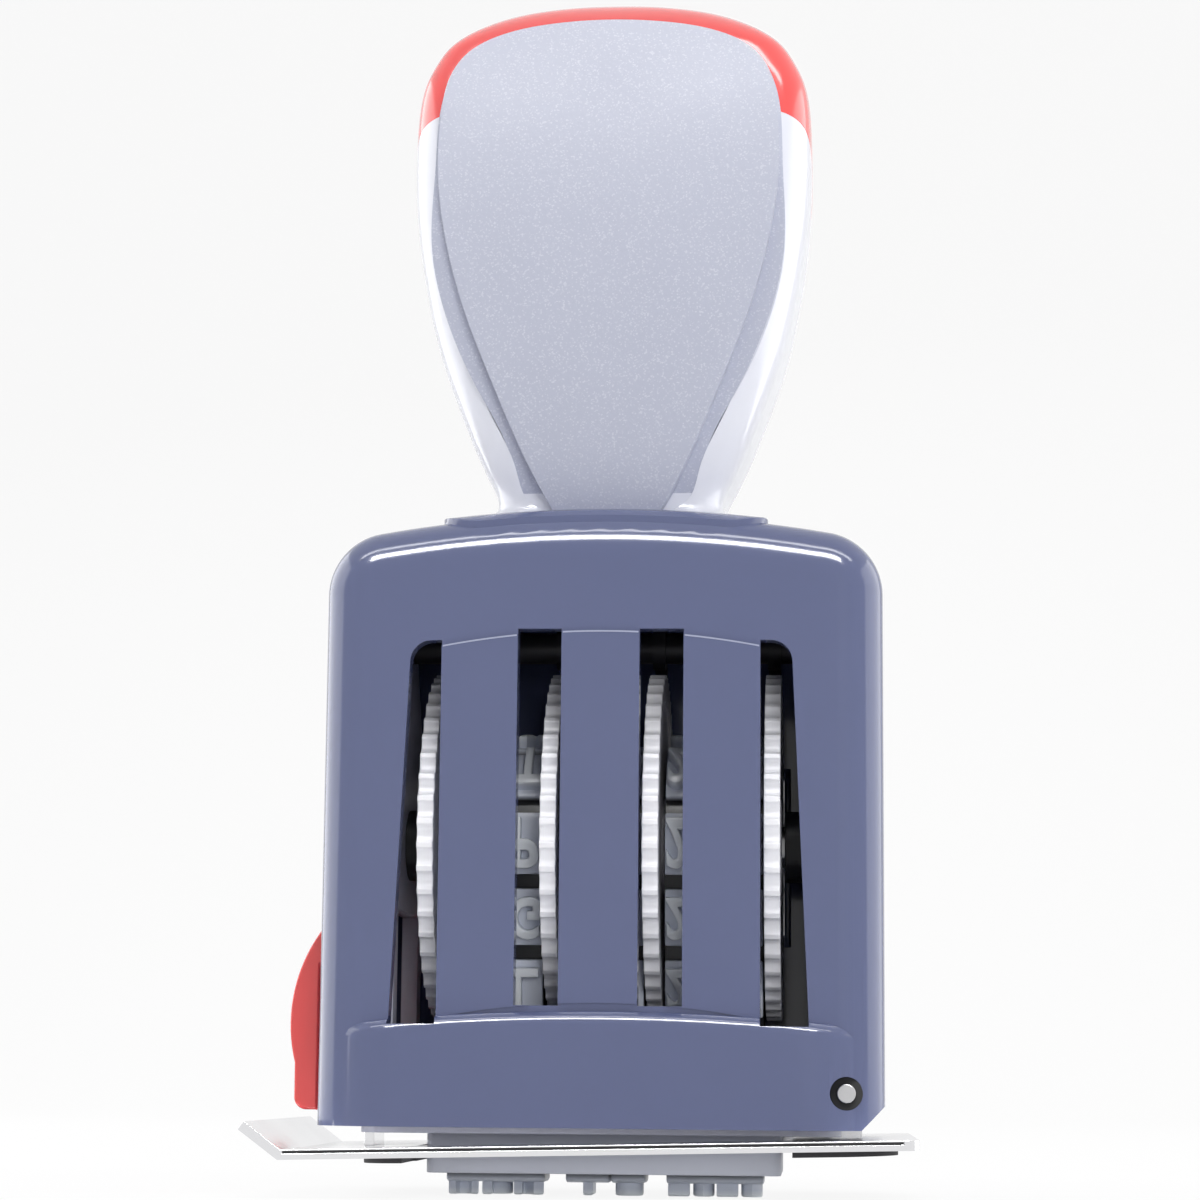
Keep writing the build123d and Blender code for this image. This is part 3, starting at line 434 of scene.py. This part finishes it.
def merged(node):
    shell = bmesh.new()
    shell.from_mesh(frame["nodes"][node].data)
    bmesh.ops.remove_doubles(shell, verts=shell.verts, dist=weld)
    bmesh.ops.dissolve_limit(
        shell, angle_limit=still_flat, verts=shell.verts, edges=shell.edges
    )
    return mesh_from(shell, node)


def dressed(node, width, mesh=None):
    piece = in_scene(
        node + "_piece", mesh or merged(node), body_of[node], slot_of[node],
        look=worn_as.get(node),
    )
    if width:
        rounded(piece, width, crease).harden_normals = True
    flats_kept(piece)
    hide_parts(node)


# %% [markdown]
# These solids have the right shape already and only need their edges and looks.
# The width of each round follows the real part: the lever was moulded soft, the
# stamped and turned parts are crisp, and the smallest parts have none.

# %% Dress the solids whose shape is right
width_of = {
    "housing": 0.15, "release_lever": 0.35, "handle_front_insert": 0.25,
    "handle_rear_insert": 0.25, "month_wheel": 0.08, "day_tens_wheel": 0.08,
    "day_units_wheel": 0.08, "year_wheel": 0.08, "band_guide": 0.1, "anvil": 0.1,
    "chassis": 0.1, "plate_hinge_pin": 0.1, "lever_pin": 0.1, "wheel_axle": 0.1,
    "axle_end_spacers": 0.1, "axle_clips": 0.05, "tie_bar": 0.1, "detent_springs": 0,
    "chassis_screws": 0, "handle_screw": 0, "lever_spring": 0,
}
for node, width in width_of.items():
    dressed(node, width * mm)
print("dressed:", len(width_of), "solids")

# %% [markdown]
# The grip swells and narrows without a single flat place, so it is drawn again with
# more rings than the solid has. A curve that is spun would only give a round grip,
# and this one is an oblong. So a circle is extruded ring by ring, and each ring is
# pressed into shape: its width follows the outline seen from the front, and its
# depth the swell seen from the side. Both come from the same shares of the height
# that the solid uses.

# %% The grip's outline
grip_foot = 63.9 * mm
grip_tall = 52.9 * mm
grip_half_width = 19.5 * mm
curve_steps = 6
outline = [
    (0.572, 0.0), (0.567, 0.047), (0.634, 0.1), (0.722, 0.174), (0.868, 0.325),
    (0.954, 0.476), (0.994, 0.6), (1.0, 0.705), (0.985, 0.8), (0.933, 0.861),
    (0.82, 0.92), (0.61, 0.966), (0.37, 0.989), (0.14, 0.999), (0.0, 1.0),
]


def smooth_curve(points):
    points = [Vector(p) for p in points]
    padded = [2 * points[0] - points[1], *points, 2 * points[-1] - points[-2]]
    curve = []
    for a, b, c, d in zip(padded, padded[1:], padded[2:], padded[3:]):
        for step in range(curve_steps):
            t = step / curve_steps
            straight_on = b + (c - a) * t / 2
            bend = (a - 2.5 * b + 2 * c - d / 2) * t**2
            curve.append(straight_on + bend + (1.5 * (b - c) + (d - a) / 2) * t**3)
    return curve + [points[-1]]


rings = smooth_curve(outline)[:-1]
print("grip:", len(rings), "rings,", round(2 * grip_half_width / mm, 1), "mm wide")

# %% [markdown]
# Seen from the side, the grip's depth runs through three measured places. Where the
# crown begins, the depth follows a quarter circle, and the oblong turns rounder, so
# that the top closes as a low dome. The collar at the foot is a small flare that
# dies out within two millimetres.

# %% The grip's depth and its dome
depth_at = (10.4 * mm, 0), (13.7 * mm, 31.0 * mm), (8.2 * mm, 52.9 * mm)
field_depth = 1.2 * mm
crown_round = 5.5 * mm
collar_flare, collar_share = 1.1 * mm, 0.03
oblong, dome_loss = 4.6, 1.8


def swell(rise):
    total = 0
    for point in depth_at:
        share = point[0]
        for other in depth_at:
            if other != point:
                share *= (rise - other[1]) / (point[1] - other[1])
        total += share
    return total


def press(turn, out, up):
    up = min(up, 1.0)
    under = grip_tall * (1 - up)
    depth = swell(grip_tall * up) - field_depth
    if under < crown_round:
        depth += (crown_round**2 - (crown_round - under) ** 2) ** 0.5 - crown_round
    flare = collar_flare * max(0, 1 - up / collar_share) ** 2
    fullness = 2 / (oblong - dome_loss * max(0, 1 - under / crown_round))
    x = (grip_half_width * out + flare) * abs(turn.x) ** fullness
    y = (max(depth, 0) + flare) * abs(turn.y) ** fullness
    return x if turn.x > 0 else -x, y if turn.y > 0 else -y, grip_foot + grip_tall * up


print("grip:", round(2 * swell(grip_tall / 2) / mm, 1), "mm deep halfway up")

# %% [markdown]
# The rings are stacked one unit apart at first, so that each vertex still knows the
# number of its ring. Only then is every vertex pressed to its real place.

# %% Draw the grip ring by ring
grip = bmesh.new()
bmesh.ops.create_circle(grip, segments=120, radius=1.0)
ring = grip.edges[:]
bmesh.ops.contextual_create(grip, geom=ring)
for _ in rings[1:]:
    grown = carry_on(grip, ring, (0, 0, 1))
    ring = [e for e in grown if abs(e.verts[0].co.z - e.verts[1].co.z) < 0.5]
bmesh.ops.contextual_create(grip, geom=ring)
for v in grip.verts:
    v.co = press(Vector((v.co.x, v.co.y)), *rings[round(v.co.z)])
bmesh.ops.recalc_face_normals(grip, faces=grip.faces)
grip_mesh = mesh_from(grip, "grip")
print("grip:", len(grip_mesh.polygons), "faces")

# %% [markdown]
# On the real grip a pale insert sits in a pocket at the front and one at the back,
# and a coral cap meets the body along a curved seam. Pushing vertices about for
# those edges would spoil the smooth swell, so blocks with the right outline cut
# them. A Boolean modifier does each cut on objects that are thrown away after it.

# %% Helpers that cut
def prism(corners, place, start, end):
    block = bmesh.new()
    face = block.faces.new([block.verts.new(place(a, b, start)) for a, b in corners])
    grown = bmesh.ops.extrude_face_region(block, geom=[face])["geom"]
    bmesh.ops.translate(block, vec=place(0, 0, end) - place(0, 0, start), verts=verts_in(grown))
    bmesh.ops.recalc_face_normals(block, faces=block.faces)
    return mesh_from(block, "prism")


def carved(mesh, cutter, how):
    base = bpy.data.objects.new("base", mesh)
    tool = bpy.data.objects.new("tool", cutter)
    for temporary in (base, tool):
        scene.collection.objects.link(temporary)
    cut = base.modifiers.new("cut", "BOOLEAN")
    cut.operation = how
    cut.object = tool
    cut.solver = "EXACT"
    bpy.context.view_layer.update()
    finished = base.evaluated_get(bpy.context.evaluated_depsgraph_get())
    result = bpy.data.meshes.new_from_object(finished)
    for temporary in (base, tool):
        bpy.data.objects.remove(temporary)
    return result


# %% [markdown]
# A pocket's outline is that of the insert's flange, a touch narrower, so that no
# dark gap shows beside the flange. Half of it is written down, and the other half
# is its mirror image.

# %% Cut the pockets
insert_tall = 49.1 * mm
field_half_width = 16.2 * mm
pocket_floor, clear_of_grip = 9.0 * mm, 20.0 * mm
flange = [
    (0.35, -0.02), (0.35, 0.0), (0.49, 0.04), (0.57, 0.118), (0.765, 0.247), (0.942, 0.383),
    (1.03, 0.519), (1.02, 0.69), (0.972, 0.86), (0.867, 0.925), (0.661, 0.968),
    (0.34, 0.993), (0.0, 1.003),
]
half_rim = [
    (field_half_width * p.x, grip_foot + insert_tall * p.y) for p in smooth_curve(flange)
]
rim = half_rim + [(-x, z) for x, z in reversed(half_rim[:-1])]
for side in (-1, 1):
    pocket = prism(
        rim, lambda a, b, c: Vector((a, c, b)), side * pocket_floor, side * clear_of_grip
    )
    grip_mesh = carved(grip_mesh, pocket, "DIFFERENCE")
print("grip with pockets:", len(grip_mesh.polygons), "faces")

# %% [markdown]
# The cap is everything above a seam. Seen from the side, the seam is lowest in the
# middle and rises to the front and the back. Two separate shapes could leave a gap
# there, so one block holds all the space above the seam. The grip without the block
# is the body of the handle, and the grip inside the block is the cap.

# %% Part the cap from the body
seam_half_width, seam_foot, seam_rise = 13.7 * mm, grip_foot + 31.6 * mm, 9.0 * mm
block_half, block_top, block_reach = 20 * mm, 125 * mm, 25 * mm
half_seam = [(0, 0.0), (0.22, 0.24), (0.47, 0.66), (0.73, 0.9), (1.0, 1.0)]
whole_seam = [(-out, up) for out, up in reversed(half_seam[1:])] + half_seam
above = [
    (seam_half_width * p.x, seam_foot + seam_rise * p.y) for p in smooth_curve(whole_seam)
]
seam_end = above[-1][1]
above += [
    (block_half, seam_end), (block_half, block_top), (-block_half, block_top),
    (-block_half, seam_end),
]
cap_block = prism(above, lambda a, b, c: Vector((c, a, b)), -block_reach, block_reach)
for node, how in (("handle_core", "DIFFERENCE"), ("handle_cap", "INTERSECT")):
    part = in_scene(
        node + "_piece", carved(grip_mesh, cap_block, how), body_of[node], slot_of[node], 30
    )
    rounded(part, 0.12 * mm, 40)
    flats_kept(part)
    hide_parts(node)
    print(node, len(part.data.polygons), "faces")

# %% [markdown]
# A thin dark line runs along each long edge of the plate. It is a painted reflection: the dark,
# shaded underside of the housing as the plate's top face mirrors it. A drawn line would vanish
# when the plate swings, so a groove is cut for it, and a dark strip lies at its bottom. The plate
# stands 1.4 degrees off level at rest, and the grooves lean with it.

# %% The plate's painted reflection lines
plate_lean = radians(-1.4)
plate_x, plate_y, plate_z = -0.34 * mm, 18.6 * mm, 4.80 * mm
groove_size = 55.8 * mm, 0.5 * mm, 0.25 * mm
strip_size, strip_depth = (55.7 * mm, 0.2 * mm, 0.24 * mm), 0.17 * mm


def block_at(middle, size, turn=0.0):
    block = bmesh.new()
    bmesh.ops.create_cube(block, size=1.0)
    turned = Matrix.Rotation(turn, 4, "Y") @ Matrix.Diagonal((*size, 1))
    place = Matrix.Translation(middle) @ turned
    bmesh.ops.transform(block, matrix=place, verts=block.verts)
    return mesh_from(block, "block")


def round_edges(shape, edges, width, segments):
    bmesh.ops.bevel(
        shape, geom=edges, offset=width, segments=segments, profile=0.5, affect="EDGES",
        material=-1,
    )


plate = merged("text_plate")
plate_reflection_strips = bmesh.new()
for side in (-1, 1):
    groove = block_at((plate_x, side * plate_y, plate_z), groove_size, plate_lean)
    plate = carved(plate, groove, "DIFFERENCE")
    inner = side * (plate_y - strip_depth)
    plate_reflection_strips.from_mesh(block_at((plate_x, inner, plate_z), strip_size, plate_lean))
round_edges(plate_reflection_strips, plate_reflection_strips.edges[:], 0.02 * mm, 1)
reflection_strip_mesh = mesh_from(plate_reflection_strips, "plate_painted_reflection")
# The near-black strips are a painted reflection of the housing's shaded underside.
in_scene("plate_painted_reflection", reflection_strip_mesh, "text_plate", "cushion_rubber", look="painted_shade_black")
dressed("text_plate", 0.07 * mm, mesh=plate)
print("plate_painted_reflection:", len(reflection_strip_mesh.polygons), "faces")

# %% [markdown]
# The rubber cushion under the plate is open at the front, where the band guide looks
# out. The solid is closed there, so one block cuts the opening out of a copy.

# %% The cushion's opening
opening_size = 35.2 * mm, 11.2 * mm, 8 * mm
opening = block_at((0, -14.5 * mm, 4 * mm), opening_size)
cushion = carved(merged("die_cushion"), opening, "DIFFERENCE")
dressed("die_cushion", 0.05 * mm, mesh=cushion)
print("die_cushion:", len(cushion.polygons), "faces")

# %% [markdown]
# A black disc sits round each end of the hinge pin, at the bottom of its hole, as painted shade
# that darkens the hole. Only its dark rim shows there, so a low cylinder with rounded rims is
# enough for each.

# %% Painted shade at the ends of the hinge pin
hinge_x, hinge_z, hole_floor = 22.45 * mm, 9.8 * mm, 16.4 * mm
shade_disc_radius, shade_disc_thick, shade_disc_lift = 1.48 * mm, 0.14 * mm, 0.08 * mm
pin_shade_discs = bmesh.new()
for side in (-1, 1):
    middle = hinge_x, side * (hole_floor + shade_disc_lift), hinge_z
    grown = bmesh.ops.create_cone(
        pin_shade_discs, cap_ends=True, segments=48, radius1=shade_disc_radius, radius2=shade_disc_radius,
        depth=shade_disc_thick, matrix=Matrix.Translation(middle) @ Matrix.Rotation(pi / 2, 4, "X"),
    )
    edges = {e for v in grown["verts"] for e in v.link_edges}
    rims = [e for e in edges if abs(e.verts[0].co.y - e.verts[1].co.y) < 0.01 * mm]
    round_edges(pin_shade_discs, rims, 0.03 * mm, 1)
pin_shade_mesh = mesh_from(pin_shade_discs, "pin_painted_shade")
# A near-black disc: painted shade at the bottom of each pin hole.
in_scene("pin_painted_shade", pin_shade_mesh, "stamp_frame", "black_plastic", look="painted_shade_black")
print("pin_painted_shade:", len(pin_shade_mesh.polygons), "faces")

# %% [markdown]
# Beside each wheel, a thin rib inside the back wall keeps the rim straight in its
# window. The ribs belong to the housing and are all alike, so one loop sets a cube
# beside each wheel.

# %% Ribs beside the wheels
wheel_middles = -16.1 * mm, -4.8 * mm, 4.6 * mm, 15.75 * mm
wheel_half, rib_gap = 0.75 * mm, 0.02 * mm
rib_size = 0.7 * mm, 1.1 * mm, 18 * mm
rib_y, axle_z = 15.1 * mm, 33.1 * mm


def cube_in(shape, size, middle):
    grown = bmesh.ops.create_cube(shape, size=1.0)["verts"]
    bmesh.ops.scale(shape, vec=size, verts=grown)
    bmesh.ops.translate(shape, vec=middle, verts=grown)
    return grown


ribs = bmesh.new()
for wheel_middle in wheel_middles:
    rib_x = wheel_middle + wheel_half + rib_gap + rib_size[0] / 2
    cube_in(ribs, rib_size, (rib_x, rib_y, axle_z))
round_edges(ribs, ribs.edges[:], 0.08 * mm, 2)
rib_mesh = mesh_from(ribs, "wheel_ribs")
in_scene("wheel_ribs", rib_mesh, "stamp_frame", "housing_plastic")
print("wheel_ribs:", len(rib_mesh.polygons), "faces")

# %% [markdown]
# The three bars between the slots stand a little proud of the front, and a pale line along their
# top edges is a painted highlight. A mask could paint it, but here it is one crisp line, so each
# edge is a thin strip. It is cut across every millimetre, and can then follow the arch of the
# bars.

# %% The bars' painted highlights
bar_front, bar_top, bar_half, bar_drop = 17.27 * mm, 51.8 * mm, 14.7 * mm, 1.4 * mm
arch_radius = (bar_half**2 + bar_drop**2) / (2 * bar_drop)
strip_deep, strip_tall, strip_sink = 0.12 * mm, 0.14 * mm, 0.1 * mm


def cut_across(shape, place, normal):
    everything = shape.verts[:] + shape.edges[:] + shape.faces[:]
    bmesh.ops.bisect_plane(shape, geom=everything, plane_co=place, plane_no=normal)


bar_highlights = bmesh.new()
for low_x, high_x in ((-14.6, -7.75), (-3.5, 3.5), (7.75, 14.6)):
    size = (high_x - low_x) * mm, strip_deep, strip_tall
    cube_in(bar_highlights, size, ((low_x + high_x) / 2 * mm, -bar_front, 0))
for cut in range(-14, 15):
    cut_across(bar_highlights, (cut * mm, 0, 0), (1, 0, 0))
for v in bar_highlights.verts:
    v.co.z += bar_top - strip_sink - arch_radius + (arch_radius**2 - v.co.x**2) ** 0.5
bmesh.ops.recalc_face_normals(bar_highlights, faces=bar_highlights.faces)
bar_highlight_mesh = mesh_from(bar_highlights, "bar_highlights")
# A pale strip on each bar's top edge: painted highlight.
in_scene("bar_highlights", bar_highlight_mesh, "stamp_frame", "housing_plastic", look="painted_highlight_edge")
print("bar_highlights:", len(bar_highlight_mesh.polygons), "faces")

# %% [markdown]
# The date bands are the one thing that the solids leave plain. A real band is a
# rubber belt with a row of small blocks, and each block carries its letters in
# relief, mirrored, so that they print the right way round. All of that is easiest
# to model flat, as a long strip, and then to bend round the drum and the anvil.
# The bend is one function: it takes a place on the flat strip and gives the same
# place on the belt.

# %% The belt's path
web = 0.9 * mm
flat_half = 1.9 * mm
foot_z = 4.4 * mm
foot_radius = 1.35 * mm + web / 2
drum_radius = 7.75 * mm + web / 2
reach = hypot(flat_half, axle_z - foot_z)
lean = asin((drum_radius - foot_radius) / reach)
out_angle = atan2(axle_z - foot_z, -flat_half) - pi / 2 - lean
foot_arc = foot_radius * (out_angle + pi / 2)
straight = reach * cos(lean)
drum_arc = drum_radius * (pi / 2 - out_angle)
half_loop = flat_half + foot_arc + straight + drum_arc
print("the belt is", round(2 * half_loop / mm, 2), "mm round")


def on_belt(x, along, out):
    along = (along + half_loop) % (2 * half_loop) - half_loop
    run = abs(along)
    foot, drum = foot_radius + out, drum_radius + out
    if run <= flat_half:
        y, z = run, foot_z - foot
    elif run <= flat_half + foot_arc:
        angle = (run - flat_half) / foot_radius - pi / 2
        y, z = flat_half + foot * cos(angle), foot_z + foot * sin(angle)
    elif run <= flat_half + foot_arc + straight:
        climb = run - flat_half - foot_arc
        y = flat_half + foot * cos(out_angle) - climb * sin(out_angle)
        z = foot_z + foot * sin(out_angle) + climb * cos(out_angle)
    else:
        angle = out_angle + (run - flat_half - foot_arc - straight) / drum_radius
        y, z = drum * cos(angle), axle_z + drum * sin(angle)
    return Vector((x, y if along >= 0 else -y, z))


# %% [markdown]
# Each letter is made once, as a text curve with a little thickness and a bevelled
# rim, turned into a mesh of unit height and kept. The curve is thrown away. A text
# object for each letter would do too, but it couldn't be bent with its band.

# %% Raised letters
letter_meshes = {}


def letter_curve(letter):
    curve = bpy.data.curves.new("letter", "FONT")
    curve.body = letter
    curve.size = 1.0
    curve.resolution_u = 5
    curve.extrude = 0.10
    curve.offset = 0.004
    curve.bevel_depth = 0.035
    curve.bevel_resolution = 1
    return curve


def raised_letter(letter):
    if letter not in letter_meshes:
        curve = letter_curve(letter)
        holder = bpy.data.objects.new("letter", curve)
        scene.collection.objects.link(holder)
        mesh = bpy.data.meshes.new_from_object(holder)
        bpy.data.objects.remove(holder)
        bpy.data.curves.remove(curve)
        shape = bmesh.new()
        shape.from_mesh(mesh)
        bmesh.ops.remove_doubles(shape, verts=shape.verts, dist=1e-5)
        low = Vector([min(v.co[i] for v in shape.verts) for i in range(3)])
        high = Vector([max(v.co[i] for v in shape.verts) for i in range(3)])
        size = high - low
        unit = 1 / size.y, 1 / size.y, 1 / size.z
        bmesh.ops.translate(shape, vec=-(low + high) / 2, verts=shape.verts)
        bmesh.ops.scale(shape, vec=unit, verts=shape.verts)
        shape.to_mesh(mesh)
        shape.free()
        letter_meshes[letter] = mesh, size.x / size.y
    return letter_meshes[letter]


# %% [markdown]
# A band is a row of blocks at an even pitch with the letters on them. A bevelled
# cube makes one block. A letter is as high as its block allows, and only as wide as
# its share of the block. Its root goes a little way into the block, so that no gap
# opens under it where the belt bends.

# %% Blocks and their letters
cell_height, cell_length = 0.95 * mm, 5.3 * mm
letter_height, letter_root = 1.2 * mm, 0.3 * mm
letter_size, letter_gap = 4.0 * mm, 0.25 * mm
face_height = web / 2 + cell_height


def block_on(strip, low_x, high_x, middle):
    size = high_x - low_x, cell_length, face_height
    grown = cube_in(strip, size, ((low_x + high_x) / 2, middle, face_height / 2))
    upper = {v for v in grown if v.co.z > face_height / 2}
    round_edges(strip, list({e for v in upper for e in v.link_edges}), 0.16 * mm, 2)


def letters_on(strip, word, low_x, high_x, middle):
    share = (high_x - low_x) / len(word)
    tall = letter_height + letter_root
    lift = face_height + letter_height - tall / 2
    for index, letter in enumerate(word):
        if letter == " ":
            continue
        mesh, aspect = raised_letter(letter)
        width = min(letter_size * aspect, share - letter_gap)
        place = Matrix.Translation((low_x + share * (index + 0.5), middle, lift))
        stamped = mesh.copy()
        stamped.transform(place @ Matrix.Diagonal((width / aspect, letter_size, tall, 1)))
        strip.from_mesh(stamped)
        bpy.data.meshes.remove(stamped)


# %% [markdown]
# The flat strip is cut across every millimetre, which gives it points to bend at. A
# float layer keeps each point's height above the web for the rubber's colour. The
# web is a grid that is bent in the same way, closed where its ends meet, and only
# then given its thickness.

# %% One date band
cells, belt_steps, short_of_end = 14, 160, 0.999999


def web_loop(low_x, high_x):
    loop = bmesh.new()
    bmesh.ops.create_grid(loop, x_segments=1, y_segments=belt_steps, size=0.5)
    bmesh.ops.scale(loop, vec=(high_x - low_x, 2 * half_loop, 1), verts=loop.verts)
    bmesh.ops.translate(loop, vec=((low_x + high_x) / 2, 0, -web / 2), verts=loop.verts)
    for v in loop.verts:
        v.co = on_belt(v.co.x, v.co.y * short_of_end, v.co.z)
    bmesh.ops.remove_doubles(loop, verts=loop.verts, dist=1e-6)
    bmesh.ops.recalc_face_normals(loop, faces=loop.faces)
    bmesh.ops.solidify(loop, geom=loop.faces[:], thickness=-web)
    bmesh.ops.recalc_face_normals(loop, faces=loop.faces)
    return loop


def date_band(node, low_x, high_x, words):
    strip = bmesh.new()
    pitch = 2 * half_loop / cells
    for index in range(cells):
        block_on(strip, low_x, high_x, index * pitch)
        letters_on(strip, words[index % len(words)], low_x, high_x, index * pitch)
    for cut in range(int(2 * half_loop / mm)):
        cut_across(strip, (0, (cut - 3) * mm, 0), (0, 1, 0))
    relief = strip.verts.layers.float.new("relief")
    for v in strip.verts:
        v[relief] = v.co.z / (face_height + letter_height)
        v.co = on_belt(*v.co)
    bmesh.ops.recalc_face_normals(strip, faces=strip.faces)
    mesh = mesh_from(web_loop(low_x, high_x), node)
    strip.from_mesh(mesh)
    strip.to_mesh(mesh)
    strip.free()
    piece = in_scene(node + "_piece", mesh, body_of[node], slot_of[node], 40)
    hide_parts(node)
    print(node, len(mesh.polygons), "faces")


# %% [markdown]
# The stamp has four bands: months, the tens and the units of the day, and years.
# Only plain dates stand on them. A band that has fewer words than blocks repeats
# them, and some blocks stay blank, so that a part of the date can be left out.

# %% The four date bands
months = [
    "APR", "MAR", "FEB", "JAN", "   ", "   ", "DEC",
    "NOV", "OCT", "SEP", "AUG", "JUL", "JUN", "MAY",
]
for node, words in (
    ("month_band", months),
    ("day_tens_band", ["1", "0", " ", "3", "2"]),
    ("day_units_band", list("8765432109") + [" "] * 4),
    ("year_band", [str(year) for year in range(2026, 2040)]),
):
    low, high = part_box(node)
    date_band(node, low[0], high[0], words)
